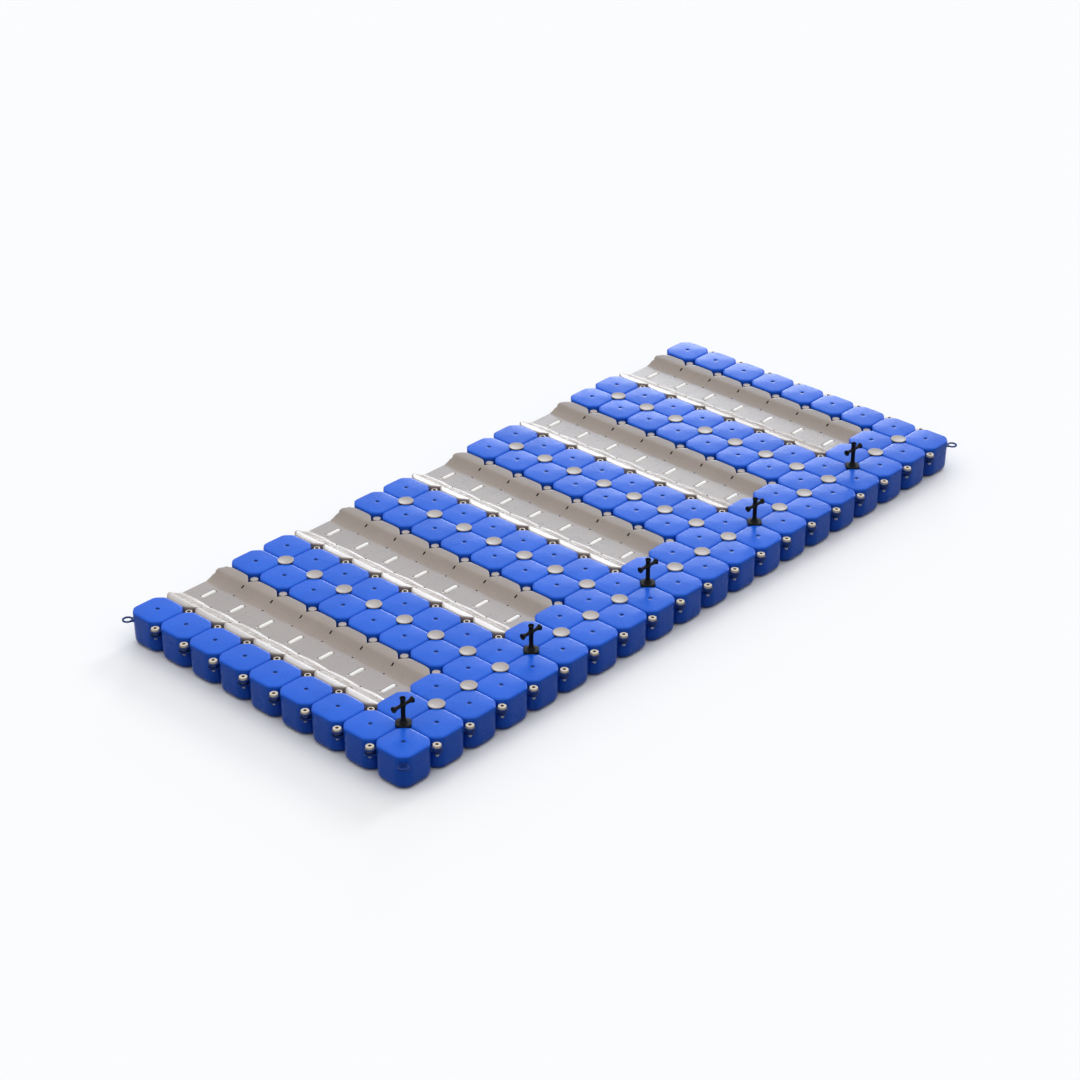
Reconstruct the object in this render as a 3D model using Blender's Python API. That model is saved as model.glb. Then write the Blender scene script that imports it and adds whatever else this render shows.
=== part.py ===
"""Modular floating dock with drive-on bays for small craft.

Cube floats stand on a square grid: a walkway two floats wide, and fingers that reach out from it.
Between the fingers lie the bays, rows of wide drive-on floats, each with a keel roller in its floor.
X runs along the walkway, Y from the walkway towards the open end of the bays, and Z up from the underside.
"""

import math

import bmesh
import bpy
from mathutils import Matrix, Vector

# Layout on the grid, in cells
BAYS = 5
BAY_COLUMNS = 2
BAY_ROWS = 7
WALKWAY_ROWS = 2
SECTION_COLUMNS = BAY_COLUMNS + 2
COLUMNS = BAYS * SECTION_COLUMNS
ROWS = WALKWAY_ROWS + BAY_ROWS
CELL = 0.500

# Cube float
DECK_HEIGHT = 0.430
FLOAT_GAP = 0.004
CORNER_CUT = 0.095
BOTTOM_RISE = 0.090
BOTTOM_INSET = 0.065

# Corner lugs: every float has one on each corner, and each corner has its own level in the stack
LUG_RADIUS = 0.065
LUG_HOLE_RADIUS = 0.043
LUG_ROOT = 0.020
LUG_DROP = 0.075
LUG_PITCH = 0.018
LEVEL_BACK_LEFT = 0
LEVEL_BACK_RIGHT = 1
LEVEL_FRONT_RIGHT = 2
LEVEL_FRONT_LEFT = 3

# Connecting pins with their round caps
CAP_RADIUS = 0.0975
CAP_HEIGHT = 0.012
CAP_SEAT = 0.001
PIN_RADIUS = 0.041
PIN_DEPTH = 0.175
CAP_SIDES = 8

# Drive-on floats of a bay: levels below the deck, widths across the bay
FLOOR_DROP = 0.135
FLOOR_HALF = 0.178
SHOULDER_WIDTH = 0.146
SHOULDER_DROP = 0.045
RIM_DROP = 0.027

# Keel rollers
ROLLER_RADIUS = 0.025
ROLLER_TIP_RADIUS = 0.008
ROLLER_BARREL_HALF = 0.112
ROLLER_NECK_HALF = 0.130
ROLLER_TIP_HALF = 0.142
ROLLER_PROUD = 0.010
ROLLER_SIDES = 8
POCKET_ROOM = 0.004

# Mooring bollards
BASE_RADIUS = 0.0925
BASE_HEIGHT = 0.028
POST_RADIUS = 0.026
POST_FLARE_RADIUS = 0.035
POST_FLARE_HEIGHT = 0.045
POST_TOP = 0.318
BAR_HEIGHT = 0.228
BAR_RADIUS = 0.020
BAR_FLARE_RADIUS = 0.0375
BAR_FLARE_LENGTH = 0.055
BAR_HALF = 0.145
BOLLARD_SIDES = 8

# Clearance between pieces that touch or turn in each other, and how far a cutter passes what it cuts
CLEARANCE = 0.0003
OVERRUN = 0.050


def cell_x(column):
    """Centre of a grid column. Half columns give the grid lines between them."""
    return (column - (COLUMNS - 1) / 2) * CELL


def cell_y(row):
    """Centre of a grid row. Half rows give the grid lines between them."""
    return (row - (ROWS - 1) / 2) * CELL


def level_top(level):
    """Top face of a lug at this level of the stack, counted from the highest."""
    return DECK_HEIGHT - LUG_DROP - level * LUG_PITCH


def clear_scene():
    for found in list(bpy.data.objects):
        bpy.data.objects.remove(found, do_unlink=True)


def plastic(name, color, roughness):
    made = bpy.data.materials.new(name)
    made.use_nodes = True
    made.diffuse_color = (*color, 1)
    shader = made.node_tree.nodes["Principled BSDF"]
    shader.inputs["Base Color"].default_value = (*color, 1)
    shader.inputs["Roughness"].default_value = roughness
    shader.inputs["Metallic"].default_value = 0
    return made


def new_object(name, bm, material=None):
    """The finished mesh as an object in the scene, with its faces turned outwards."""
    bmesh.ops.recalc_face_normals(bm, faces=bm.faces)
    mesh = bpy.data.meshes.new(name)
    bm.to_mesh(mesh)
    bm.free()
    if material:
        mesh.materials.append(material)
    made = bpy.data.objects.new(name, mesh)
    bpy.context.scene.collection.objects.link(made)
    return made


def loft(bm, rings):
    """A closed skin through rings of equally many points, with a face across each end."""
    loops = [[bm.verts.new(point) for point in ring] for ring in rings]
    for low, high in zip(loops, loops[1:]):
        for index in range(len(low)):
            following = (index + 1) % len(low)
            bm.faces.new((low[index], low[following], high[following], high[index]))
    bm.faces.new(loops[0])
    bm.faces.new(loops[-1])


def prism(bm, outline, low, high):
    loft(bm, [[(x, y, z) for x, y in outline] for z in (low, high)])


def turned(bm, profile, sides, along_x=False, at=(0, 0, 0)):
    """A turned shape. The profile's points are (place along the axis, radius)."""
    rings = []
    for place, radius in profile:
        ring = []
        for step in range(sides):
            angle = math.tau * step / sides
            point = Vector((radius * math.cos(angle), radius * math.sin(angle), place))
            if along_x:
                point = Vector((point.z, point.x, point.y))
            ring.append(point + Vector(at))
        rings.append(ring)
    loft(bm, rings)


def octagon(half, cut):
    """Outline of a square with cut corners, anticlockwise."""
    side = half - cut
    return [
        (half, -side), (half, side), (side, half), (-side, half),
        (-half, side), (-half, -side), (-side, -half), (side, -half),
    ]  # fmt: skip


def cube_float(bm, x, y):
    """One cube float: flat deck, cut corners, and a bevel round the underside."""
    half = (CELL - FLOAT_GAP) / 2
    bottom_half = half - BOTTOM_INSET
    bottom_cut = CORNER_CUT - (2 - math.sqrt(2)) * BOTTOM_INSET
    rings = []
    for z, ring_half, cut in (
        (0, bottom_half, bottom_cut),
        (BOTTOM_RISE, half, CORNER_CUT),
        (DECK_HEIGHT, half, CORNER_CUT),
    ):
        rings.append([(x + dx, y + dy, z) for dx, dy in octagon(ring_half, cut)])
    loft(bm, rings)


def lug_pair(bm, x, y, outward, level, levels=1):
    """The lugs of two neighbours in a row, where their corners meet on the row's edge at (x, y)."""
    side = CORNER_CUT - LUG_RADIUS + LUG_ROOT
    end = LUG_RADIUS * math.cos(math.pi / 4)
    outline = [(-LUG_RADIUS, -side), (LUG_RADIUS, -side), (end, end), (-end, end)]
    turn = Matrix.Rotation(math.atan2(outward[1], outward[0]) - math.pi / 2, 2)
    placed = [turn @ Vector(point) + Vector((x, y)) for point in outline]
    top = level_top(level)
    prism(bm, placed, top - levels * LUG_PITCH + CLEARANCE, top)


def lug(bm, x, y, outward, level):
    """One float's lug, on its corner at (x, y). It points along outward, a diagonal."""
    arc = LUG_RADIUS * math.cos(math.pi / 4)
    root = CORNER_CUT * math.cos(math.pi / 4) + LUG_ROOT
    outline = [
        (-root, -LUG_RADIUS), (0, -LUG_RADIUS), (arc, -arc), (LUG_RADIUS, 0),
        (arc, arc), (0, LUG_RADIUS), (-root, LUG_RADIUS),
    ]  # fmt: skip
    turn = Matrix.Rotation(math.atan2(outward[1], outward[0]), 2)
    placed = [turn @ Vector(point) + Vector((x, y)) for point in outline]
    top = level_top(level)
    prism(bm, placed, top - LUG_PITCH + CLEARANCE, top)


def lug_hole(bm, x, y, level):
    """Cutter for the open ring of a free lug."""
    top = level_top(level)
    profile = ((top - LUG_PITCH - OVERRUN, LUG_HOLE_RADIUS), (top + OVERRUN, LUG_HOLE_RADIUS))
    turned(bm, profile, CAP_SIDES, at=(x, y, 0))


def cap(bm, x, y, seat, pin=False):
    """A pin cap over a junction, with its underside at the height called seat, and the pin below it."""
    profile = [(seat, CAP_RADIUS), (DECK_HEIGHT + CAP_HEIGHT, CAP_RADIUS)]
    if pin:
        profile = [(DECK_HEIGHT - PIN_DEPTH, PIN_RADIUS), (seat, PIN_RADIUS)] + profile
    turned(bm, profile, CAP_SIDES, at=(x, y, 0))


def helper(name, bm):
    """An object that only shapes another one, so it is never rendered."""
    made = new_object(name, bm)
    made.hide_render = True
    made.display_type = "WIRE"
    return made


def combined(body, steps):
    """The body with each step's mesh joined to it or cut from it, as one finished mesh."""
    helpers = []
    for operation, bm in steps:
        if not bm.faces:
            bm.free()
            continue
        other = helper(f"{body.name}_{operation.lower()}", bm)
        change = body.modifiers.new(operation.title(), "BOOLEAN")
        change.operation = operation
        change.object = other
        helpers.append(other)
    bpy.context.view_layer.update()
    evaluated = body.evaluated_get(bpy.context.evaluated_depsgraph_get())
    finished = bpy.data.meshes.new_from_object(evaluated)
    body.modifiers.clear()
    body.data = finished
    for other in helpers:
        bpy.data.objects.remove(other, do_unlink=True)
    return body


def make_walkway(index, material):
    """One bay's width of walkway: two rows of cube floats held by their lugs and capped pins."""
    first = index == 0
    last = index == BAYS - 1
    left = cell_x(index * SECTION_COLUMNS - 0.5)
    right = left + SECTION_COLUMNS * CELL
    back = cell_y(-0.5)
    middle = back + CELL
    front = back + WALKWAY_ROWS * CELL
    floats = bmesh.new()
    for column in range(SECTION_COLUMNS):
        for row in range(WALKWAY_ROWS):
            cube_float(floats, left + (column + 0.5) * CELL, back + (row + 0.5) * CELL)
    lugs = bmesh.new()
    for column in range(1, SECTION_COLUMNS):
        lug_pair(lugs, left + column * CELL, back, (0, -1), LEVEL_BACK_LEFT, 2)
    for column in (1, SECTION_COLUMNS - 1):
        lug_pair(lugs, left + column * CELL, front, (0, 1), LEVEL_FRONT_RIGHT, 2)
    lug_pair(lugs, right, middle, (1, 0), LEVEL_BACK_RIGHT, 2)
    if first:
        lug_pair(lugs, left, middle, (-1, 0), LEVEL_BACK_LEFT)
    lug(lugs, left, back, (-1, -1), LEVEL_BACK_LEFT)
    lug(lugs, right, back, (1, -1), LEVEL_BACK_RIGHT)
    if first:
        lug(lugs, left, front, (-1, 1), LEVEL_FRONT_LEFT)
    if last:
        lug(lugs, right, front, (1, 1), LEVEL_FRONT_RIGHT)
    caps = bmesh.new()
    for column in range(2, SECTION_COLUMNS):
        cap(caps, left + column * CELL, middle, DECK_HEIGHT - CAP_SEAT)
    if not last:
        cap(caps, right, middle, DECK_HEIGHT + CLEARANCE, pin=True)
    holes = bmesh.new()
    if first:
        lug_hole(holes, left, back, LEVEL_BACK_LEFT)
    if last:
        lug_hole(holes, right, back, LEVEL_BACK_RIGHT)
    walkway = new_object(f"walkway_section_{index + 1}", floats, material)
    return combined(walkway, [("UNION", lugs), ("UNION", caps), ("DIFFERENCE", holes)])


def make_finger(index, material):
    """One finger: a double row of cube floats between two bays, or a single row at an end of the dock."""
    first = index == 0
    last = index == BAYS
    columns = 1 if first or last else 2
    left = cell_x(max(index * SECTION_COLUMNS - 1, 0) - 0.5)
    right = left + columns * CELL
    back = cell_y(WALKWAY_ROWS - 0.5)
    front = cell_y(ROWS - 0.5)
    floats = bmesh.new()
    for column in range(columns):
        for row in range(BAY_ROWS):
            cube_float(floats, left + (column + 0.5) * CELL, back + (row + 0.5) * CELL)
    lugs = bmesh.new()
    for row in range(1, BAY_ROWS):
        lug_pair(lugs, left, back + row * CELL, (-1, 0), LEVEL_BACK_LEFT)
        lug_pair(lugs, right, back + row * CELL, (1, 0), LEVEL_BACK_RIGHT, 2)
    lug(lugs, left, back, (-1, -1), LEVEL_BACK_LEFT)
    lug(lugs, right, back, (1, -1), LEVEL_BACK_RIGHT)
    lug(lugs, right, front, (1, 1), LEVEL_FRONT_RIGHT)
    lug(lugs, left, front, (-1, 1), LEVEL_FRONT_LEFT)
    caps = bmesh.new()
    if columns == 2:
        between = left + CELL
        lug_pair(lugs, between, back, (0, -1), LEVEL_BACK_LEFT, 2)
        lug_pair(lugs, between, front, (0, 1), LEVEL_FRONT_RIGHT, 2)
        cap(caps, between, back, DECK_HEIGHT + CLEARANCE, pin=True)
        for row in range(1, BAY_ROWS):
            cap(caps, between, back + row * CELL, DECK_HEIGHT - CAP_SEAT)
    holes = bmesh.new()
    if first:
        lug_hole(holes, left, front, LEVEL_FRONT_LEFT)
    if last:
        lug_hole(holes, right, front, LEVEL_FRONT_RIGHT)
    finger = new_object(f"finger_{index + 1}", floats, material)
    return combined(finger, [("UNION", lugs), ("UNION", caps), ("DIFFERENCE", holes)])


def bay_ring(y, half, bottom_lift):
    """Section of a bay's floats at y: floor, slopes, shoulders, sides and the bevels of the underside."""
    whole_half = (BAY_COLUMNS * CELL - FLOAT_GAP) / 2
    shoulder = whole_half - SHOULDER_WIDTH
    rise_share = (half - shoulder) / SHOULDER_WIDTH
    rim = DECK_HEIGHT - SHOULDER_DROP + (SHOULDER_DROP - RIM_DROP) * rise_share
    right_side = [
        (FLOOR_HALF, DECK_HEIGHT - FLOOR_DROP),
        (shoulder, DECK_HEIGHT - SHOULDER_DROP),
        (half, rim),
        (half, BOTTOM_RISE + bottom_lift),
        (half - BOTTOM_INSET, bottom_lift),
    ]
    left_side = [(-x, z) for x, z in reversed(right_side)]
    return [(x, y, z) for x, z in right_side + left_side]


def roller_axis():
    """Height of the rollers' axes: each barrel stands a little proud of the channel's floor."""
    return DECK_HEIGHT - FLOOR_DROP + ROLLER_PROUD - ROLLER_RADIUS


def box_cut(bm, x, y, reach, half, low):
    """A box that cuts down to the height called low, from above the floats."""
    outline = [(x - reach, y - half), (x + reach, y - half), (x + reach, y + half), (x - reach, y + half)]
    prism(bm, outline, low, DECK_HEIGHT + OVERRUN)


def roller_pocket(slots, notches, x, y):
    """Room for one roller: a slot for its barrel, and a narrow notch whose ends carry its tips."""
    axis = roller_axis()
    slot = ROLLER_RADIUS + POCKET_ROOM
    notch = ROLLER_TIP_RADIUS + CLEARANCE
    box_cut(slots, x, y, ROLLER_NECK_HALF, slot, axis - slot)
    box_cut(notches, x, y, ROLLER_TIP_HALF + CLEARANCE, notch, axis - notch)


def make_bay(index, material):
    """One bay's drive-on floats, held end to end: a channel with a flat floor, and the rollers' pockets."""
    middle = cell_x(index * SECTION_COLUMNS + (SECTION_COLUMNS - 1) / 2)
    edge = BAY_COLUMNS * CELL / 2
    left = middle - edge
    right = middle + edge
    back = cell_y(WALKWAY_ROWS - 0.5)
    front = cell_y(ROWS - 0.5)
    half = edge - FLOAT_GAP / 2
    narrow = half - CORNER_CUT
    stations = [(back + FLOAT_GAP / 2, narrow, BOTTOM_RISE)]
    for row in range(BAY_ROWS):
        start = back + row * CELL
        stations.append((start + CORNER_CUT, half, 0))
        stations.append((start + CELL - CORNER_CUT, half, 0))
        stations.append((start + CELL, narrow, BOTTOM_RISE))
    stations[-1] = (front - FLOAT_GAP / 2, narrow, BOTTOM_RISE)
    floats = bmesh.new()
    rings = [bay_ring(*station) for station in stations]
    loft(floats, [[(x + middle, y, z) for x, y, z in ring] for ring in rings])
    lugs = bmesh.new()
    for row in range(1, BAY_ROWS):
        lug_pair(lugs, left, back + row * CELL, (-1, 0), LEVEL_BACK_LEFT)
        lug_pair(lugs, right, back + row * CELL, (1, 0), LEVEL_BACK_RIGHT, 2)
    lug(lugs, left, back, (-1, -1), LEVEL_BACK_LEFT)
    lug(lugs, right, back, (1, -1), LEVEL_BACK_RIGHT)
    lug(lugs, right, front, (1, 1), LEVEL_FRONT_RIGHT)
    lug(lugs, left, front, (-1, 1), LEVEL_FRONT_LEFT)
    slots = bmesh.new()
    notches = bmesh.new()
    for row in range(BAY_ROWS):
        roller_pocket(slots, notches, middle, back + (row + 0.5) * CELL)
    bay = new_object(f"bay_{index + 1}_floats", floats, material)
    return combined(bay, [("UNION", lugs), ("DIFFERENCE", slots), ("DIFFERENCE", notches)])


def roller_mesh(material):
    """A keel roller about the X axis: a barrel with tapered ends, and a tip at each end to turn on."""
    bm = bmesh.new()
    profile = (
        (-ROLLER_TIP_HALF, ROLLER_TIP_RADIUS),
        (-ROLLER_NECK_HALF, ROLLER_TIP_RADIUS),
        (-ROLLER_BARREL_HALF, ROLLER_RADIUS),
        (ROLLER_BARREL_HALF, ROLLER_RADIUS),
        (ROLLER_NECK_HALF, ROLLER_TIP_RADIUS),
        (ROLLER_TIP_HALF, ROLLER_TIP_RADIUS),
    )
    turned(bm, profile, ROLLER_SIDES, along_x=True)
    made = new_object("roller_shape", bm, material)
    mesh = made.data
    bpy.data.objects.remove(made, do_unlink=True)
    mesh.shade_smooth()
    mesh.set_sharp_from_angle(angle=math.radians(30))
    return mesh


def make_bollard(index, material):
    """A mooring bollard: a pin through the lugs, a thick foot, a post, and a crossbar along the walkway."""
    x = cell_x(index * SECTION_COLUMNS + 0.5)
    y = cell_y(0.5)
    post = bmesh.new()
    turned(
        post,
        (
            (-PIN_DEPTH, PIN_RADIUS),
            (CLEARANCE, PIN_RADIUS),
            (CLEARANCE, BASE_RADIUS),
            (BASE_HEIGHT, BASE_RADIUS),
            (BASE_HEIGHT, POST_RADIUS),
            (POST_TOP - POST_FLARE_HEIGHT, POST_RADIUS),
            (POST_TOP, POST_FLARE_RADIUS),
        ),
        BOLLARD_SIDES,
    )
    bar = bmesh.new()
    turned(
        bar,
        (
            (-BAR_HALF, BAR_FLARE_RADIUS),
            (-BAR_HALF + BAR_FLARE_LENGTH, BAR_RADIUS),
            (BAR_HALF - BAR_FLARE_LENGTH, BAR_RADIUS),
            (BAR_HALF, BAR_FLARE_RADIUS),
        ),
        BOLLARD_SIDES,
        along_x=True,
        at=(0, 0, BAR_HEIGHT),
    )
    bollard = combined(new_object(f"mooring_bollard_{index + 1}", post, material), [("UNION", bar)])
    bollard.location = (x, y, DECK_HEIGHT)
    return bollard


def main():
    clear_scene()
    blue = plastic("blue_float_plastic", (0.045, 0.13, 0.62), 0.45)
    beige = plastic("beige_float_plastic", (0.52, 0.48, 0.43), 0.5)
    white = plastic("white_roller_plastic", (0.85, 0.85, 0.82), 0.35)
    black = plastic("black_bollard_plastic", (0.015, 0.015, 0.014), 0.5)
    roller = roller_mesh(white)
    dock = bpy.data.objects.new("dock", None)
    bpy.context.scene.collection.objects.link(dock)
    pieces = [make_finger(index, blue) for index in range(BAYS + 1)]
    for index in range(BAYS):
        pieces.append(make_walkway(index, blue))
        pieces.append(make_bay(index, beige))
        pieces.append(make_bollard(index, black))
        middle = cell_x(index * SECTION_COLUMNS + (SECTION_COLUMNS - 1) / 2)
        for row in range(BAY_ROWS):
            made = bpy.data.objects.new(f"bay_{index + 1}_roller_{row + 1}", roller)
            bpy.context.scene.collection.objects.link(made)
            made.location = (middle, cell_y(WALKWAY_ROWS + row), roller_axis())
            pieces.append(made)
    for piece in pieces:
        piece.parent = dock


main()
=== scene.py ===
"""Looks of the modular floating dock: floats, pins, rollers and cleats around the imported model.

X runs along the walkway, Y from the walkway towards the open end of the bays, and Z up from the
underside. Lengths are in metres.
"""

import math

import bpy
import numpy as np
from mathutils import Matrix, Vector


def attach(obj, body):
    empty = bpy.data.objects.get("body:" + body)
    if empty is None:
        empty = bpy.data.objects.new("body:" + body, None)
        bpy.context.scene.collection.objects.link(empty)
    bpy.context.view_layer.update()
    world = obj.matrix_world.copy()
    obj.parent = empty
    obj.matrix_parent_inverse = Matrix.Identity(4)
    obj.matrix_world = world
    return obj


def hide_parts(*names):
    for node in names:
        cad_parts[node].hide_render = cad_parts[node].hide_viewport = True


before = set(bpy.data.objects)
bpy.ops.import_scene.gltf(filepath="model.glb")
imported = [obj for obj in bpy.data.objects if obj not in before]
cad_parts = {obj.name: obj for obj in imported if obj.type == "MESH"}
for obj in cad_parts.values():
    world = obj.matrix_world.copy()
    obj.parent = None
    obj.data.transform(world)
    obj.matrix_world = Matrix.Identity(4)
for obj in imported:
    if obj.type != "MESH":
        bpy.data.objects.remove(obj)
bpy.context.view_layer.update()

# Layout on the grid, as in the CAD model
BAYS = 5
BAY_ROWS = 7
WALKWAY_ROWS = 2
SECTION_COLUMNS = 4
COLUMNS = BAYS * SECTION_COLUMNS
ROWS = WALKWAY_ROWS + BAY_ROWS
CELL = 0.500
HALF = 0.248
DECK = 0.430
CORNER_CUT = 0.095

# Corner lugs and the levels of their stack: back left, back right, front right, front left
LUG_RADIUS = 0.065
LUG_HOLE_RADIUS = 0.043
LUG_THICKNESS = 0.0165
LUG_DROP = 0.075
LUG_PITCH = 0.018
LUG_ARM_LENGTH = 0.118
LUG_ARM_HALF_WIDTH = 0.045
LUG_ARM_FROM = -0.75
LUG_EDGE = 0.0025
CORNERS = ((-1, -1, 0), (1, -1, 1), (1, 1, 2), (-1, 1, 3))

# Drive-on floats: levels of the channel, and distances from its middle
FLOOR_LEVEL = 0.295
FLOOR_HALF = 0.178
SLOPE_END = 0.352
SHOULDER_LEVEL = 0.385
RIM_LEVEL = 0.403
BAY_HALF = 0.498

# Pocket for a roller in the channel's floor, and the shallow lip around it
ROLLER_AXIS = 0.280
POCKET_HALF_LENGTH = 0.1067
POCKET_HALF_WIDTH = 0.0331
POCKET_DEPTH = 0.0350
LIP_HALF_LENGTH = 0.1075
LIP_HALF_WIDTH = 0.0340
LIP_DROP = 0.0008

# Drain slots at the ends of a drive-on float, each between two distances from its middle
DRAIN_SLOTS = ((0.1704, 0.1864), (0.2976, 0.3364))
DRAIN_START = 0.2396
DRAIN_DEPTH = 0.034

# Faces of a pit or drain slot, which get the darker material as painted shade: this near the
# middle, above this level, this far below the channel
PIT_HALF = 0.34
PIT_LOW = 0.24
PIT_MARGIN = 0.009

# Heads of the pins: from a little above the lugs, on the outer side and in the bays
PIN_GAP = 0.0005
EDGE_HEAD_HEIGHT = 0.031
BAY_HEAD_TOP = 0.0315

# Numbers of the materials in the list of a float or cap, and in the list of a pin. The second
# material of a float or cap, and the shade and blue shade of a pin, are painted shade: darker
# colour where shade falls in lugs, recesses, pits, sockets, under caps and on sleeves.
MAIN, PAINTED_SHADE = range(2)
PALE, SHADE, PAINTED_BLUE_SHADE, WHITE, CREAM = range(5)

# Smooth faces meet in a sharp edge where they turn by more than this
SHARP_ANGLE = math.radians(38)

# Camera fitted to the photograph: where it stands around its target, in degrees and metres
CAMERA_AZIMUTH = -47.387
CAMERA_ELEVATION = 29.404
CAMERA_DISTANCE = 30.370
CAMERA_TARGET = (-0.3422, 0.1014, 0.23)
CAMERA_LENS = 83.1
CAMERA_SENSOR = 36.0


def cell_x(column):
    return (column - (COLUMNS - 1) / 2) * CELL


def cell_y(row):
    return (row - (ROWS - 1) / 2) * CELL


def level_top(level):
    return DECK - LUG_DROP - level * LUG_PITCH


# Lines of the grid: the outer edges, the walkway's middle, and where the bays start
SIDE_LINE = cell_x(-0.5)
BACK_LINE = cell_y(-0.5)
WALKWAY_LINE = cell_y(0.5)
JOINT_LINE = cell_y(WALKWAY_ROWS - 0.5)
TIP_LINE = cell_y(ROWS - 0.5)


def in_scene(name, data):
    """A new object of the scene."""
    made = bpy.data.objects.new(name, data)
    bpy.context.scene.collection.objects.link(made)
    return made


class Skin:
    """Points and faces gathered for one mesh, each face with the number of its material."""

    def __init__(self):
        self.points = []
        self.faces = []
        self.slots = []
        self.count = 0

    def add_points(self, points):
        start = self.count
        block = np.array(points, float).reshape(-1, 3)
        self.points.append(block)
        self.count += len(block)
        return start

    def add_face(self, face, slot):
        self.faces.append(tuple(face))
        self.slots.append(slot)

    def rings(self, rings, slots=None, joined=False):
        """Quads between rings of equally many points. Each end gets a face, or the ends join."""
        size = len(rings[0])
        start = self.add_points(np.concatenate([np.array(ring, float) for ring in rings]))
        bands = len(rings) if joined else len(rings) - 1
        slots = slots or [MAIN] * bands
        for band in range(bands):
            lower = start + band * size
            upper = start + (band + 1) % len(rings) * size
            for index in range(size):
                following = (index + 1) % size
                face = (lower + index, lower + following, upper + following, upper + index)
                self.add_face(face, slots[band])
        if joined:
            return
        top = start + bands * size
        self.add_face(reversed(range(start, start + size)), slots[0])
        self.add_face(range(top, top + size), slots[-1])

    def turned(self, profile, sides, at=(0, 0, 0), along_x=False, slots=None):
        """A turned shape. Its profile is (place along the axis, radius) from the low end up."""
        angles = np.arange(sides) * math.tau / sides
        rings = []
        for place, radius in profile:
            across = radius * np.cos(angles)
            upwards = radius * np.sin(angles)
            along = np.full(sides, float(place))
            columns = (along, across, upwards) if along_x else (across, upwards, along)
            rings.append(np.stack(columns, axis=1) + np.array(at, float))
        self.rings(rings, slots)

    def copy_in(self, other, at):
        """Adds another skin's shape, moved to a place."""
        start = self.add_points(np.concatenate(other.points) + np.array(at, float))
        self.faces.extend(tuple(start + index for index in face) for face in other.faces)
        self.slots.extend(other.slots)

    def piece(self, name, materials):
        """The mesh as an object with smooth faces and sharp edges."""
        mesh = bpy.data.meshes.new(name)
        mesh.from_pydata(np.concatenate(self.points).tolist(), [], self.faces)
        for material in materials:
            mesh.materials.append(material)
        mesh.polygons.foreach_set("material_index", np.array(self.slots, np.int32))
        mesh.shade_smooth()
        mesh.set_sharp_from_angle(angle=SHARP_ANGLE)
        mesh.update()
        return in_scene(name, mesh)


def soft_octagon(half, cut, radius, arc_steps, side_steps=2, bow=0.0):
    """A square with cut, rounded corners: its points, anticlockwise, and their directions out."""
    side = half - cut
    vertices = [
        Vector(point)
        for point in (
            (half, -side), (half, side), (side, half), (-side, half),
            (-half, side), (-half, -side), (-side, -half), (side, -half),
        )
    ]  # fmt: skip
    tangent = radius * math.tan(math.pi / 8)
    points = []
    outwards = []
    for index, vertex in enumerate(vertices):
        before = vertices[index - 1]
        after = vertices[(index + 1) % len(vertices)]
        arriving = (vertex - before).normalized()
        leaving = (after - vertex).normalized()
        normal = Vector((arriving.y, -arriving.x))
        centre = vertex - arriving * tangent - normal * radius
        first = math.atan2(normal.y, normal.x)
        for step in range(arc_steps + 1):
            angle = first + math.pi / 4 * step / arc_steps
            direction = Vector((math.cos(angle), math.sin(angle)))
            points.append(centre + direction * radius)
            outwards.append(direction)
        cut_side = index % 2
        if cut_side:
            continue
        start = vertex + leaving * tangent
        stop = after - leaving * tangent
        direction = Vector((leaving.y, -leaving.x))
        for step in range(1, side_steps + 1):
            share = step / (side_steps + 1)
            swell = bow * math.sin(math.pi * share)
            points.append(start.lerp(stop, share) + direction * swell)
            outwards.append(direction)
    return np.array(points), np.array(outwards)


def at_height(outline, z):
    return np.column_stack([outline, np.full(len(outline), z)])


def quarter(steps):
    """Sine and cosine from 0 to a quarter turn."""
    for step in range(steps + 1):
        angle = math.pi / 2 * step / steps
        yield math.sin(angle), math.cos(angle)


def smooth_step(value, low, high):
    share = min(1.0, max(0.0, (value - low) / (high - low)))
    return share * share * (3 - 2 * share)


def rounded_off(share):
    """Drop of a round edge of height 1, from 0 at its start to 1 at its end."""
    return 1 - math.sqrt(max(0.0, 1 - share * share))


def mirrored(half):
    """A whole profile from its outer half, which runs from the end to the middle."""
    return [(-place, radius) for place, radius in half] + list(reversed(half))


def lug_ring(skin, sign_x, sign_y, level, half_x=CELL / 2):
    """One corner lug: a flat ring round the junction, on an arm that runs into the float. It takes
    the darker material, which is painted shade for the shade that falls on the lugs under the
    deck.
    """
    steps = 24
    outer = []
    inner = []
    for step in range(steps):
        angle = math.tau * step / steps
        across = LUG_RADIUS * math.sin(angle)
        along = LUG_RADIUS * math.cos(angle)
        if math.cos(angle) < LUG_ARM_FROM:
            along = -LUG_ARM_LENGTH
            across = LUG_ARM_HALF_WIDTH * min(1.0, max(-1.0, 2 * math.sin(angle)))
        outer.append((along, across))
        inner.append((LUG_HOLE_RADIUS * math.cos(angle), LUG_HOLE_RADIUS * math.sin(angle)))
    outer = np.array(outer)
    inner = np.array(inner)
    outward = math.atan2(sign_y, sign_x)
    turn = np.array(
        [[math.cos(outward), math.sin(outward)], [-math.sin(outward), math.cos(outward)]]
    )
    corner = np.array([sign_x * half_x, sign_y * CELL / 2])
    top = level_top(level)
    low = top - LUG_THICKNESS
    shrink = 1 - LUG_EDGE / LUG_RADIUS
    widen = 1 + LUG_EDGE / LUG_HOLE_RADIUS

    def ring(outline, scale, z):
        return at_height(outline * scale @ turn + corner, z)

    rings = [
        ring(inner, widen, low),
        ring(outer, shrink, low),
        ring(outer, 1, low + LUG_EDGE),
        ring(outer, 1, top - LUG_EDGE),
        ring(outer, shrink, top),
        ring(inner, widen, top),
        ring(inner, 1, top - LUG_EDGE),
        ring(inner, 1, low + LUG_EDGE),
    ]
    # The lugs get the darker material: painted shade
    skin.rings(rings, [PAINTED_SHADE] * len(rings), joined=True)


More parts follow.
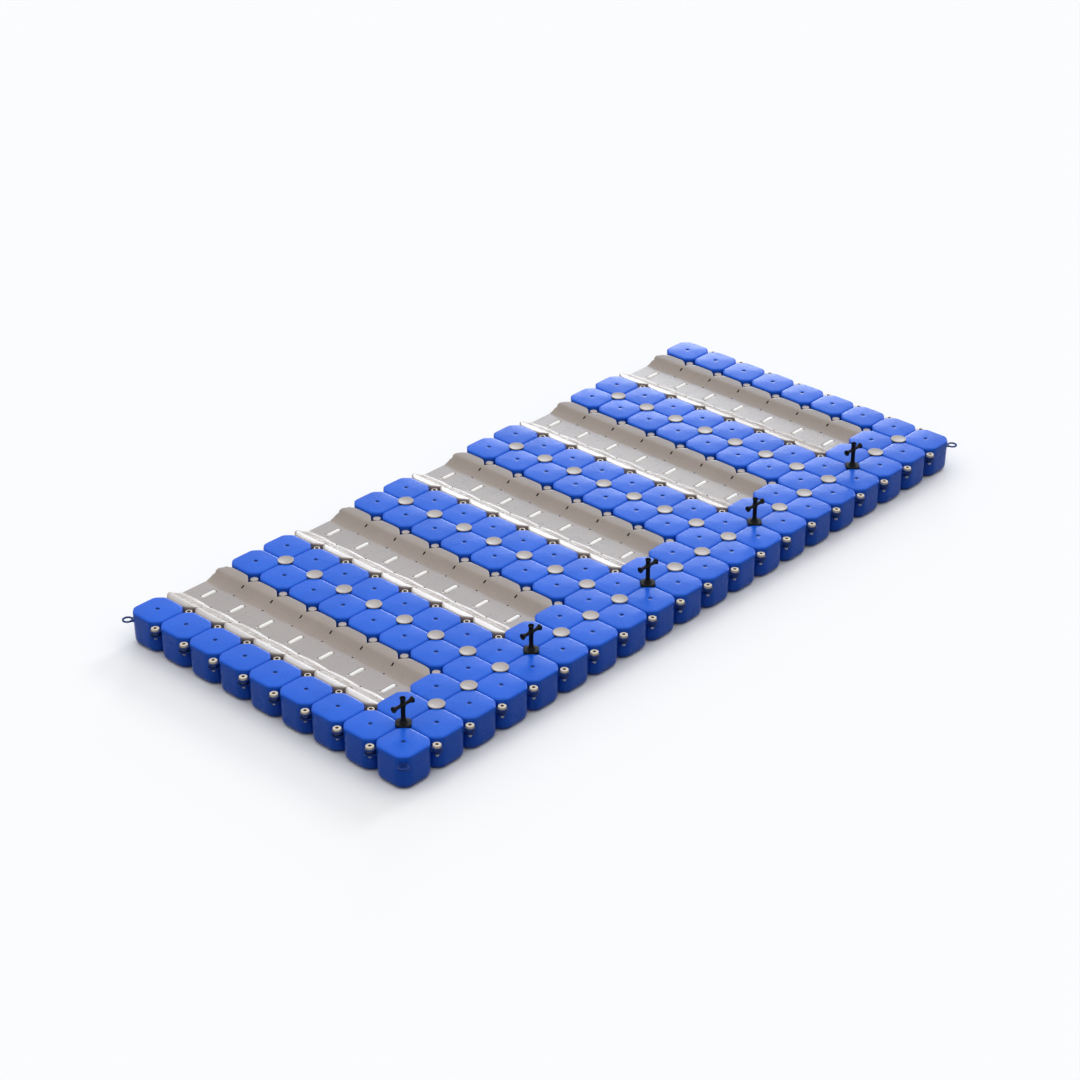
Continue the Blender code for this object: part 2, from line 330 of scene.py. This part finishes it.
def cube_float():
    """One cube float about its own centre: bowed sides, round underside, crowned deck, recess. The
    recess and the lugs are painted darker as shade.
    """
    blunt_radius = 0.150
    crisp_radius = 0.096
    blunt_up_to = 0.200
    crisp_from = 0.415
    arc_steps = 5
    bow = 0.0012
    base_scale = 0.6
    base_level = 0.0015
    bottom_reach = 0.060
    bottom_rise = 0.086
    edge_reach = 0.034
    edge_drop = 0.016
    crown = 0.007
    draft = 0.003
    blunt, blunt_outwards = soft_octagon(HALF, CORNER_CUT, blunt_radius, arc_steps, bow=bow)
    crisp, crisp_outwards = soft_octagon(HALF, CORNER_CUT, crisp_radius, arc_steps, bow=bow)

    def ring(inset, z):
        share = smooth_step(z, blunt_up_to, crisp_from)
        outline = blunt * (1 - share) + crisp * share
        outwards = blunt_outwards * (1 - share) + crisp_outwards * share
        return at_height(outline - outwards * inset, z)

    base = (blunt - blunt_outwards * (bottom_reach + draft)) * base_scale
    rings = [at_height(base, base_level)]
    for sine, cosine in quarter(7):
        rings.append(ring(bottom_reach * (1 - sine) + draft, bottom_rise * (1 - cosine)))
    low = DECK - crown - edge_drop
    for share in (0.2, 0.4, 0.6, 0.8):
        rings.append(ring(draft * (1 - share), bottom_rise + (low - bottom_rise) * share))
    for sine, cosine in quarter(6):
        rings.append(ring(edge_reach * (1 - cosine), low + edge_drop * sine))
    inner = crisp - crisp_outwards * edge_reach
    for share in (0.90, 0.76, 0.58, 0.40, 0.26):
        rings.append(at_height(inner * share, DECK - crown * share**2))
    slots = [MAIN] * (len(rings) - 1)
    directions = inner / np.linalg.norm(inner, axis=1)[:, None]
    # Walls and floor of the recess take the darker material: painted shade in the hollow
    for radius, depth, slot in (
        (0.0290, 0.0, MAIN),
        (0.0245, 0.0008, MAIN),
        (0.0232, 0.0025, PAINTED_SHADE),
        (0.0224, 0.0080, PAINTED_SHADE),
        (0.0110, 0.0080, PAINTED_SHADE),
        (0.0090, 0.0066, PAINTED_SHADE),
        (0.0025, 0.0062, PAINTED_SHADE),
    ):
        rings.append(at_height(directions * radius, DECK - depth))
        slots.append(slot)
    made = Skin()
    made.rings(rings, slots)
    for sign_x, sign_y, level in CORNERS:
        lug_ring(made, sign_x, sign_y, level)
    return made


def bay_half_width(v):
    """Half width of a drive-on float at v, where its corners are cut and rounded."""
    swell = 0.001
    corner_soft = 0.028
    past = abs(v) - (CELL / 2 - CORNER_CUT)
    return BAY_HALF + swell - (past + math.hypot(past, corner_soft)) / 2


def channel_level(u, v):
    """Height of a drive-on float's upper face: floor, crease, hollow slope, crest and shoulder."""
    crease_wave = 0.016
    crease_soft = 0.0015
    crest_soft = 0.016
    crest_lift = 0.003
    first_rise = 0.40
    across = abs(u)
    crease = FLOOR_HALF - crease_wave * (0.5 + 0.5 * math.cos(math.tau * v / CELL))
    share = (across - crease) / (SLOPE_END - crease)
    rise = share * (first_rise + (1 - first_rise) * max(share, 0.0))
    rising = FLOOR_LEVEL + rise * (SHOULDER_LEVEL - FLOOR_LEVEL)
    lower = (rising + FLOOR_LEVEL + math.hypot(rising - FLOOR_LEVEL, crease_soft)) / 2
    rim_slope = (RIM_LEVEL - SHOULDER_LEVEL) / (BAY_HALF - SLOPE_END)
    shoulder = SHOULDER_LEVEL + (across - SLOPE_END) * rim_slope
    return (lower + shoulder - math.hypot(lower - shoulder, crest_soft)) / 2 + crest_lift


def drive_on_level(u, v, width):
    """Height of the upper face with its round ends and rims, the roller's pocket and the slots."""
    end_from = 0.2357
    end_reach = 0.014
    end_drop = 0.0003
    shoulder_drop = 0.0110
    shoulder_from = 0.372
    shoulder_to = 0.405
    rim_reach = 0.020
    rim_drop = 0.014
    end = max(0.0, abs(v) - end_from) / end_reach
    past = max(0.0, (u - width + rim_reach) / rim_reach)
    z = channel_level(u, v)
    on_shoulder = smooth_step(u, shoulder_from, shoulder_to)
    z -= (end_drop + shoulder_drop * on_shoulder) * rounded_off(end)
    z -= rim_drop * rounded_off(past)
    if abs(v) < POCKET_HALF_WIDTH and u < POCKET_HALF_LENGTH:
        z = ROLLER_AXIS - POCKET_DEPTH
    elif abs(v) < LIP_HALF_WIDTH and u < LIP_HALF_LENGTH:
        z -= LIP_DROP
    if abs(v) > DRAIN_START and any(low < u < high for low, high in DRAIN_SLOTS):
        z -= DRAIN_DEPTH
    return z


def drive_on_float():
    """One drive-on float about its own centre, two cells wide: a channel with a pocket. Its pits
    and lugs are painted dark brown as shade.
    """
    across = [
        0.0, 0.045, 0.085, 0.1064, 0.1070, 0.1085, 0.125, 0.145, 0.156, 0.163, 0.170,
        0.1708, 0.178, 0.186, 0.1868, 0.196, 0.208, 0.220, 0.232, 0.244, 0.256, 0.270,
        0.2972, 0.2980, 0.317, 0.3360, 0.3368,
        0.343, 0.350, 0.357, 0.364, 0.372, 0.382,
    ]  # fmt: skip
    along = [
        0.0, 0.0150, 0.0329, 0.0333, 0.0350, 0.050, 0.080, 0.110, 0.135, 0.153, 0.170,
        0.188, 0.205, 0.220, 0.232, 0.2392, 0.2400, 0.2440, 0.2465, 0.2485, 0.2497,
    ]  # fmt: skip
    outer_shares = (0.35, 0.65, 0.84, 0.93, 0.98, 1.0)
    side_level = 0.100
    bottom_reach = 0.070
    draft = 0.003
    bulge = 0.002
    lift_from = 0.150
    end_lift = 0.085
    lift_share = 0.98
    rings = []
    for v in sorted({-v for v in along} | set(along)):
        width = bay_half_width(v)
        outer = [across[-1] + (width - across[-1]) * share for share in outer_shares]
        half = [(u, drive_on_level(u, v, width)) for u in across + outer]
        turn = min(1.0, max(0.0, (abs(v) - lift_from) / (HALF - lift_from)))
        lift = end_lift * (1 - math.sqrt(1 - turn * turn * lift_share))
        rim = half[-1][1]
        for share in (0.33, 0.66):
            half.append((width - bulge * share, rim - (rim - side_level - lift) * share))
        for sine, cosine in quarter(5):
            u = width - draft - bottom_reach * (1 - cosine)
            half.append((u, side_level + lift - side_level * sine))
        right = [(u, v, z) for u, z in half]
        left = [(-u, v, z) for u, z in reversed(half[1:])]
        rings.append(list(reversed(left + right)))
    made = Skin()
    made.rings(rings)
    points = np.concatenate(made.points)
    # Faces deep in the roller's pocket and the drain slots get the darker material: painted shade
    for number, face in enumerate(made.faces):
        if len(face) > 4:
            continue
        u, v, z = points[list(face)].mean(axis=0)
        if abs(u) < PIT_HALF and PIT_LOW < z < channel_level(u, v) - PIT_MARGIN:
            made.slots[number] = PAINTED_SHADE
    for sign_x, sign_y, level in CORNERS:
        lug_ring(made, sign_x, sign_y, level, half_x=CELL)
    return made


def pin_cap():
    """A large flat cap over a junction: a low rim, a faint round recess and the pin below. The pin
    and the rim's lower band are painted dark brown as shade under the cap.
    """
    made = Skin()
    top = DECK + 0.007
    made.turned(
        (
            (DECK - 0.175, 0.034),
            (DECK - 0.170, 0.041),
            (DECK - 0.019, 0.041),
            (DECK - 0.017, 0.088),
            (DECK - 0.014, 0.0945),
            (DECK - 0.004, 0.0960),
            (DECK - 0.002, 0.0975),
            (top - 0.003, 0.0970),
            (top - 0.0008, 0.0950),
            (top, 0.0915),
            (top - 0.0003, 0.0880),
            (top - 0.0012, 0.0860),
            (top - 0.0012, 0.0500),
            (top - 0.0018, 0.0480),
            (top - 0.0022, 0.0440),
            (top - 0.0022, 0.0050),
        ),
        36,
        # Pin and lower rim band in painted shade
        slots=[PAINTED_SHADE] * 6 + [MAIN] * 9,
    )
    return made


def eight_sided(skin, profile, slots, square_above):
    """A turned shape, eight-sided where its radius passes a limit and round where it is less."""
    blend = 0.006
    angles = np.arange(32) * math.tau / 32
    circle = np.stack([np.cos(angles), np.sin(angles)], axis=1)
    off = (angles + math.pi / 8) % (math.pi / 4) - math.pi / 8
    octagon = circle / np.cos(off)[:, None]
    rings = []
    for place, radius in profile:
        share = smooth_step(radius, square_above - blend, square_above)
        rings.append(at_height((circle * (1 - share) + octagon * share) * radius, place))
    skin.rings(rings, slots)


def edge_pin():
    """A connecting pin on the dock's outer side: socket head, sleeve below the lugs, and tip. The
    socket is painted dark brown and the sleeve dark blue, both as shade.
    """
    made = Skin()
    low = level_top(0) + PIN_GAP
    high = low + EDGE_HEAD_HEIGHT
    eight_sided(
        made,
        (
            (0.2900, 0.0320),
            (0.2960, 0.0380),
            (low - 0.0010, 0.0390),
            (low, 0.0440),
            (low + 0.0030, 0.0465),
            (high - 0.0070, 0.0462),
            (high - 0.0022, 0.0445),
            (high, 0.0400),
            (high - 0.0004, 0.0195),
            (high - 0.0025, 0.0170),
            (high - 0.0160, 0.0155),
            (high - 0.0160, 0.0040),
        ),
        # The socket in painted shade
        [PALE] * 8 + [SHADE] * 3,
        square_above=0.040,
    )
    sleeve = ((0.2790, 0.042), (0.2810, 0.046), (0.3150, 0.048), (0.3170, 0.046))
    # The sleeve painted dark blue as the shade under the lugs
    made.turned(sleeve, 24, slots=[PAINTED_BLUE_SHADE] * 3)
    made.turned(
        (
            (0.2380, 0.0110),
            (0.2395, 0.0180),
            (0.2480, 0.0210),
            (0.2670, 0.0215),
            (0.2700, 0.0180),
            (0.2800, 0.0175),
        ),
        16,
        slots=[WHITE] * 5,
    )
    return made


def recessed_pin(low, high, slot, radius=0.0400, socketed=True):
    """A connecting pin below the deck: its shank, and its round head from low to high. A socketed
    head has its socket painted dark brown as shade.
    """
    profile = [
        (0.2620, 0.0320),
        (0.2680, 0.0360),
        (low - 0.0010, 0.0370),
        (low, radius - 0.0020),
        (low + 0.0030, radius),
        (high - 0.0050, radius),
        (high - 0.0015, radius - 0.0020),
        (high, radius - 0.0060),
        (high + 0.0002, 0.0240),
    ]
    slots = [slot] * 8
    # The socket in painted shade
    if socketed:
        profile += [(high - 0.0020, 0.0215), (high - 0.0110, 0.0205), (high - 0.0110, 0.0040)]
        slots += [SHADE] * 3
    made = Skin()
    made.turned(profile, 28, slots=slots)
    return made


def keel_roller():
    """A keel roller about the X axis: a smooth barrel, tapered ends, and tips in the float."""
    half = (
        (0.1420, 0.0060),
        (0.1405, 0.0078),
        (0.1100, 0.0080),
        (0.1062, 0.0086),
        (0.1054, 0.0150),
        (0.1035, 0.0210),
        (0.1000, 0.0255),
        (0.0950, 0.0288),
        (0.0890, 0.0308),
        (0.0810, 0.0319),
        (0.0600, 0.0320),
        (0.0300, 0.0320),
    )
    made = Skin()
    made.turned(mirrored(half), 32, along_x=True)
    return made


def mooring_cleat():
    """A cleat above its seat: a square foot with cut corners, a post, and a flared crossbar."""
    made = Skin()
    made.turned(((-0.175, 0.034), (-0.170, 0.041), (0.004, 0.041)), 20)
    foot_cut = 0.42
    foot_radius = 0.020
    foot = []
    turn = np.array([[math.sqrt(0.5), math.sqrt(0.5)], [-math.sqrt(0.5), math.sqrt(0.5)]])
    for z, reach in (
        (-0.0160, 0.0850),
        (-0.0130, 0.0880),
        (0.0020, 0.0875),
        (0.0060, 0.0855),
        (0.0080, 0.0810),
        (0.0100, 0.0500),
    ):
        outline, _ = soft_octagon(reach, reach * foot_cut, foot_radius, 3, side_steps=1)
        foot.append(at_height(outline @ turn, z))
    made.rings(foot)
    made.turned(
        (
            (0.0050, 0.0520),
            (0.0140, 0.0480),
            (0.0220, 0.0375),
            (0.0400, 0.0310),
            (0.0580, 0.0272),
            (0.0800, 0.0260),
            (0.1960, 0.0260),
            (0.2020, 0.0285),
            (0.2120, 0.0320),
            (0.2440, 0.0320),
            (0.2540, 0.0285),
            (0.2600, 0.0262),
            (0.2750, 0.0266),
            (0.2900, 0.0290),
            (0.3060, 0.0335),
            (0.3150, 0.0352),
            (0.3180, 0.0345),
            (0.3175, 0.0315),
            (0.3120, 0.0290),
            (0.2980, 0.0225),
            (0.2850, 0.0185),
            (0.2840, 0.0060),
        ),
        28,
    )
    crossbar_level = 0.228
    half = (
        (0.1365, 0.0060),
        (0.1375, 0.0220),
        (0.1425, 0.0310),
        (0.1450, 0.0345),
        (0.1445, 0.0368),
        (0.1420, 0.0375),
        (0.1360, 0.0360),
        (0.1240, 0.0305),
        (0.1080, 0.0248),
        (0.0900, 0.0213),
        (0.0700, 0.0200),
        (0.0300, 0.0205),
    )
    made.turned(mirrored(half), 28, at=(0, 0, crossbar_level), along_x=True)
    return made


class Nodes:
    """Short ways to put shader nodes into one tree."""

    def __init__(self, tree):
        self.tree = tree

    def add(self, kind, **inputs):
        node = self.tree.nodes.new(kind)
        for name, value in inputs.items():
            node.inputs[name.replace("_", " ")].default_value = value
        return node

    def link(self, output, target):
        self.tree.links.new(output, target)

    def maths(self, operation, first, second):
        node = self.tree.nodes.new("ShaderNodeMath")
        node.operation = operation
        for index, value in enumerate((first, second)):
            if isinstance(value, (int, float)):
                node.inputs[index].default_value = value
            else:
                self.link(value, node.inputs[index])
        return node.outputs[0]

    def mixed(self, factor, first, second):
        """Two colours mixed by a factor."""
        node = self.tree.nodes.new("ShaderNodeMix")
        node.data_type = "RGBA"
        for index, value in ((0, factor), (6, first), (7, second)):
            if isinstance(value, tuple):
                node.inputs[index].default_value = (*value, 1)
            else:
                self.link(value, node.inputs[index])
        return node.outputs[2]

    def ranged(self, value, low, high, to_low=0.0, to_high=1.0):
        limits = {"From_Min": low, "From_Max": high, "To_Min": to_low, "To_Max": to_high}
        node = self.add("ShaderNodeMapRange", **limits)
        node.interpolation_type = "SMOOTHSTEP"
        self.link(value, node.inputs["Value"])
        return node.outputs["Result"]

    def noise(self, vector, scale, detail=2.0, roughness=0.5):
        node = self.add("ShaderNodeTexNoise", Scale=scale, Detail=detail, Roughness=roughness)
        self.link(vector, node.inputs["Vector"])
        return node.outputs["Fac"]


def from_srgb(red, green, blue):
    return tuple(
        value / 255 / 12.92 if value <= 10 else ((value / 255 + 0.055) / 1.055) ** 2.4
        for value in (red, green, blue)
    )


def new_material(name):
    """A material, with the helper of its tree and its shader."""
    material = bpy.data.materials.new(name)
    material.use_nodes = True
    return material, Nodes(material.node_tree), material.node_tree.nodes["Principled BSDF"]


def plastic(name, color, scuffed, roughness, tone=0.05, grain=0.04, specular=0.5):
    """Moulded plastic: its tone differs from float to float, with flow marks, scuffs and grain."""
    color = from_srgb(*color)
    scuffed = from_srgb(*scuffed)
    material, nodes, shader = new_material(name)
    shader.inputs["Specular IOR Level"].default_value = specular
    place = nodes.add("ShaderNodeTexCoord").outputs["Object"]

    # One random tone for each cell of the grid at all heights, with the flow marks on it
    all_heights = 10.0
    cell_share = 0.45
    mottle_share = 0.08
    snapped = nodes.add("ShaderNodeVectorMath")
    snapped.operation = "SNAP"
    nodes.link(place, snapped.inputs[0])
    snapped.inputs[1].default_value = (CELL, CELL, all_heights)
    each = nodes.add("ShaderNodeTexWhiteNoise")
    nodes.link(snapped.outputs[0], each.inputs["Vector"])
    cloud = nodes.noise(place, scale=3.2, detail=4.0, roughness=0.55)
    mottle = nodes.noise(place, scale=38.0, detail=3.0, roughness=0.6)
    of_cell = nodes.maths("MULTIPLY", each.outputs["Value"], cell_share)
    total = nodes.maths("ADD", of_cell, cloud)
    total = nodes.maths("ADD", total, nodes.maths("MULTIPLY", mottle, mottle_share))
    darker = tuple(value * (1 - tone) for value in color)
    lighter = tuple(value * (1 + tone) for value in color)
    base = nodes.mixed(nodes.ranged(total, 0.35, 1.15), darker, lighter)

    # Pale scuffs in one direction, in patches
    stretched = nodes.add("ShaderNodeMapping")
    stretched.inputs["Rotation"].default_value = (0.0, 0.0, 0.6)
    stretched.inputs["Scale"].default_value = (14.0, 95.0, 60.0)
    nodes.link(place, stretched.inputs["Vector"])
    scratches = nodes.noise(stretched.outputs["Vector"], scale=1.0, detail=5.0, roughness=0.65)
    patches = nodes.noise(place, scale=5.5)
    worn = nodes.maths(
        "MULTIPLY",
        nodes.ranged(scratches, 0.60, 0.74, to_high=0.14),
        nodes.ranged(patches, 0.45, 0.65),
    )
    nodes.link(nodes.mixed(worn, base, scuffed), shader.inputs["Base Color"])

    # A gloss that follows the flow marks, and a fine grain on broad waves
    broad_share = 1.5
    gloss = nodes.ranged(cloud, 0.3, 0.7, roughness - 0.02, roughness + 0.03)
    nodes.link(gloss, shader.inputs["Roughness"])
    fine = nodes.noise(place, scale=420.0)
    broad = nodes.noise(place, scale=9.0)
    height = nodes.maths("ADD", fine, nodes.maths("MULTIPLY", broad, broad_share))
    bump = nodes.add("ShaderNodeBump", Strength=grain, Distance=0.002)
    nodes.link(height, bump.inputs["Height"])
    nodes.link(bump.outputs["Normal"], shader.inputs["Normal"])
    return material


def seen_directly(nodes):
    """1 for rays that show the floor or sky itself: straight, in gloss and through glass."""
    path = nodes.add("ShaderNodeLightPath")
    either = nodes.maths("MAXIMUM", path.outputs["Is Camera Ray"], path.outputs["Is Glossy Ray"])
    return nodes.maths("MAXIMUM", either, path.outputs["Is Transmission Ray"])


def make_floor():
    """A pale floor that keeps the shadow and throws little light back."""
    reach = 150.0
    level = -0.002
    unseen_color = (0.10, 0.11, 0.13)
    seen_color = (0.95, 0.95, 0.95)
    mesh = bpy.data.meshes.new("studio_floor")
    corners = [(x * reach, y * reach, level) for x, y in ((-1, -1), (1, -1), (1, 1), (-1, 1))]
    mesh.from_pydata(corners, [], [(0, 1, 2, 3)])
    floor = in_scene("studio_floor", mesh)
    material, nodes, shader = new_material("studio_floor")
    shader.inputs["Roughness"].default_value = 0.9
    shader.inputs["Specular IOR Level"].default_value = 0.0
    nodes.link(
        nodes.mixed(seen_directly(nodes), unseen_color, seen_color),
        shader.inputs["Base Color"],
    )
    mesh.materials.append(material)


def make_sky():
    """A white sky where it is seen, and a soft light that is strongest overhead."""
    overhead = 1.66
    all_round = 0.06
    world = bpy.data.worlds.new("studio_sky")
    bpy.context.scene.world = world
    world.use_nodes = True
    sky = Nodes(world.node_tree)
    background = world.node_tree.nodes["Background"]
    background.inputs["Color"].default_value = (1.0, 1.0, 1.0, 1.0)
    direction = sky.add("ShaderNodeTexCoord").outputs["Generated"]
    parts = sky.add("ShaderNodeSeparateXYZ")
    sky.link(direction, parts.inputs["Vector"])
    height = sky.maths("MAXIMUM", parts.outputs["Z"], 0.0)
    squared = sky.maths("MULTIPLY", height, height)
    light = sky.maths("ADD", sky.maths("MULTIPLY", squared, overhead), all_round)
    seen = seen_directly(sky)
    unseen = sky.maths("SUBTRACT", 1.0, seen)
    strength = sky.maths("ADD", seen, sky.maths("MULTIPLY", unseen, light))
    sky.link(strength, background.inputs["Strength"])


def make_lamps():
    """A white key lamp from the right, and a low and a cool lamp from behind."""
    for name, energy, degrees, color, towards in (
        ("key_lamp", 0.59, 14, (1.0, 1.0, 1.0), (0.86, 0.12, 0.46)),
        ("low_lamp", 0.42, 13, (0.88, 0.94, 1.0), (0.74, 0.59, 0.25)),
        ("cool_lamp", 0.20, 26, (0.22, 0.56, 1.0), (0.64, 0.59, 0.56)),
    ):
        data = bpy.data.lights.new(name, "SUN")
        data.energy = energy
        data.angle = math.radians(degrees)
        data.color = color
        lamp = in_scene(name, data)
        lamp.rotation_euler = Vector(towards).to_track_quat("Z", "Y").to_euler()


def make_camera():
    azimuth = math.radians(CAMERA_AZIMUTH)
    elevation = math.radians(CAMERA_ELEVATION)
    back = Vector(
        (
            math.sin(azimuth) * math.cos(elevation),
            -math.cos(azimuth) * math.cos(elevation),
            math.sin(elevation),
        )
    )
    data = bpy.data.cameras.new("camera")
    data.lens = CAMERA_LENS
    data.sensor_width = CAMERA_SENSOR
    data.clip_start = 1.0
    data.clip_end = 500.0
    camera = in_scene("camera", data)
    camera.location = Vector(CAMERA_TARGET) + back * CAMERA_DISTANCE
    camera.rotation_euler = back.to_track_quat("Z", "Y").to_euler()
    bpy.context.scene.camera = camera


class Kit:
    """The shapes that the whole dock repeats, and the list of materials of each."""

    def __init__(self):
        blue = plastic(
            "blue_plastic", (28, 93, 212), (90, 135, 226), 0.28, grain=0.02, specular=0.14
        )
        # The dark blue, the lug and pit brown and the socket brown are painted shade: darker
        # colours that stand in for shade on lugs, recesses, pits, sockets, sleeves and under caps
        painted_blue_shade = plastic("blue_painted_shade", (20, 52, 122), (60, 90, 160), 0.50, specular=0.2)
        beige = plastic(
            "grey_beige_plastic",
            (161, 149, 140),
            (190, 182, 174),
            0.28,
            tone=0.03,
            grain=0.004,
            specular=0.42,
        )
        painted_brown_shade = plastic("lug_and_pit_painted_shade", (60, 51, 43), (96, 86, 76), 0.50, specular=0.2)
        cream = plastic("cap_plastic", (172, 161, 154), (200, 192, 184), 0.42, tone=0.05)
        pale = plastic("pin_plastic", (214, 202, 182), (228, 220, 206), 0.38, tone=0.04)
        shade = plastic("brown_painted_shade", (92, 74, 54), (130, 112, 90), 0.55, specular=0.2)
        white = plastic("roller_plastic", (247, 246, 243), (250, 250, 248), 0.30, tone=0.02)
        black = plastic("black_plastic", (9, 9, 8), (40, 38, 32), 0.55, tone=0.10, specular=0.15)
        self.float_plastics = [blue, painted_blue_shade]
        self.drive_on_plastics = [beige, painted_brown_shade]
        self.cap_plastics = [cream, shade]
        self.pin_plastics = [pale, shade, painted_blue_shade, white, cream]
        self.roller_plastics = [white]
        self.cleat_plastics = [black]

        self.cube_float = cube_float()
        self.drive_on_float = drive_on_float()
        self.pin_cap = pin_cap()
        self.edge_pin = edge_pin()
        lugs_top = level_top(0)
        head = (lugs_top + PIN_GAP, lugs_top + BAY_HEAD_TOP)
        self.near_pin = recessed_pin(*head, PALE)
        self.far_pin = recessed_pin(*head, CREAM, radius=0.0480, socketed=False)
        # Pins at the tips sit in shade and their heads get the painted shade material
        self.tip_pin = recessed_pin(lugs_top - 0.0280, lugs_top - 0.0160, SHADE)
        self.keel_roller = keel_roller()
        self.mooring_cleat = mooring_cleat()


def on_dock(skin, name, materials, replaced=()):
    """A piece that rides on the dock; the CAD nodes it stands for are hidden."""
    made = skin.piece(name, materials)
    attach(made, "dock")
    if replaced:
        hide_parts(*replaced)
    return made


def gathered(shape, places):
    """Copies of one shape as a single skin."""
    made = Skin()
    for place in places:
        made.copy_in(shape, place)
    return made


def walkway_section(kit, index):
    """A section of the walkway: its cube floats, its caps and the pins on its outer side."""
    number = index + 1
    left = cell_x(index * SECTION_COLUMNS - 0.5)
    columns = [left + (column + 0.5) * CELL for column in range(SECTION_COLUMNS)]
    places = [(x, cell_y(row), 0) for x in columns for row in range(WALKWAY_ROWS)]
    on_dock(
        gathered(kit.cube_float, places),
        f"walkway_{number}_cube_floats",
        kit.float_plastics,
        [f"walkway_section_{number}"],
    )
    last = index == BAYS - 1
    stop = SECTION_COLUMNS + (not last)
    caps = [(left + column * CELL, WALKWAY_LINE, 0) for column in range(2, stop)]
    on_dock(gathered(kit.pin_cap, caps), f"walkway_{number}_pin_caps", kit.cap_plastics)
    pins = [(left + column * CELL, BACK_LINE, 0) for column in range(1, stop)]
    short_side = [cell_y(row + 0.5) for row in range(WALKWAY_ROWS)]
    if index == 0:
        pins += [(SIDE_LINE, y, 0) for y in short_side]
    if last:
        pins += [(-SIDE_LINE, y, 0) for y in short_side]
    on_dock(gathered(kit.edge_pin, pins), f"walkway_{number}_edge_pins", kit.pin_plastics)


def bay(kit, index):
    """A bay: its drive-on floats, the pins along its edges and its keel rollers."""
    number = index + 1
    middle = cell_x(index * SECTION_COLUMNS - 0.5) + SECTION_COLUMNS / 2 * CELL
    rows = [cell_y(WALKWAY_ROWS + row) for row in range(BAY_ROWS)]
    on_dock(
        gathered(kit.drive_on_float, [(middle, y, 0) for y in rows]),
        f"bay_{number}_drive_on_floats",
        kit.drive_on_plastics,
        [f"bay_{number}_floats"],
    )
    held = Skin()
    for edge, pin in ((-CELL, kit.near_pin), (CELL, kit.far_pin)):
        for row in range(BAY_ROWS):
            held.copy_in(pin, (middle + edge, JOINT_LINE + row * CELL, 0))
    held.copy_in(kit.tip_pin, (middle, JOINT_LINE, 0))
    on_dock(held, f"bay_{number}_recessed_pins", kit.pin_plastics)
    for row, y in enumerate(rows):
        node = f"bay_{number}_roller_{row + 1}"
        barrel = gathered(kit.keel_roller, [(middle, y, ROLLER_AXIS)])
        made = barrel.piece(f"{node}_barrel", kit.roller_plastics)
        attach(made, node)
        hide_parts(node)


def mooring(kit, index):
    """The cleat at a bay's near front corner."""
    number = index + 1
    place = (cell_x(index * SECTION_COLUMNS + 0.5), WALKWAY_LINE, DECK)
    on_dock(
        gathered(kit.mooring_cleat, [place]),
        f"mooring_cleat_{number}",
        kit.cleat_plastics,
        [f"mooring_bollard_{number}"],
    )


def finger(kit, index):
    """A finger: one or two rows of cube floats, the caps between them and the pins around them."""
    number = index + 1
    single = index in (0, BAYS)
    width = 1 if single else 2
    left = cell_x(max(index * SECTION_COLUMNS - 1, 0) - 0.5)
    places = [
        (left + (column + 0.5) * CELL, cell_y(WALKWAY_ROWS + row), 0)
        for column in range(width)
        for row in range(BAY_ROWS)
    ]
    on_dock(
        gathered(kit.cube_float, places),
        f"finger_{number}_cube_floats",
        kit.float_plastics,
        [f"finger_{number}"],
    )
    if single:
        outside = SIDE_LINE if index == 0 else -SIDE_LINE
        inside = outside + (CELL if index == 0 else -CELL)
        pins = [(outside, JOINT_LINE + row * CELL, 0) for row in range(1, BAY_ROWS)]
        held = gathered(kit.edge_pin, pins)
        held.copy_in(kit.tip_pin, (inside, TIP_LINE, 0))
    else:
        caps = [(left + CELL, JOINT_LINE + row * CELL, 0) for row in range(BAY_ROWS)]
        on_dock(gathered(kit.pin_cap, caps), f"finger_{number}_pin_caps", kit.cap_plastics)
        tips = [(left + column * CELL, TIP_LINE, 0) for column in range(3)]
        held = gathered(kit.tip_pin, tips)
    on_dock(held, f"finger_{number}_edge_pins", kit.pin_plastics)


def main():
    kit = Kit()
    for index in range(BAYS):
        walkway_section(kit, index)
        bay(kit, index)
        mooring(kit, index)
    for index in range(BAYS + 1):
        finger(kit, index)

    make_floor()
    make_sky()
    make_lamps()
    make_camera()
    bpy.context.scene.view_settings.view_transform = "Standard"


main()
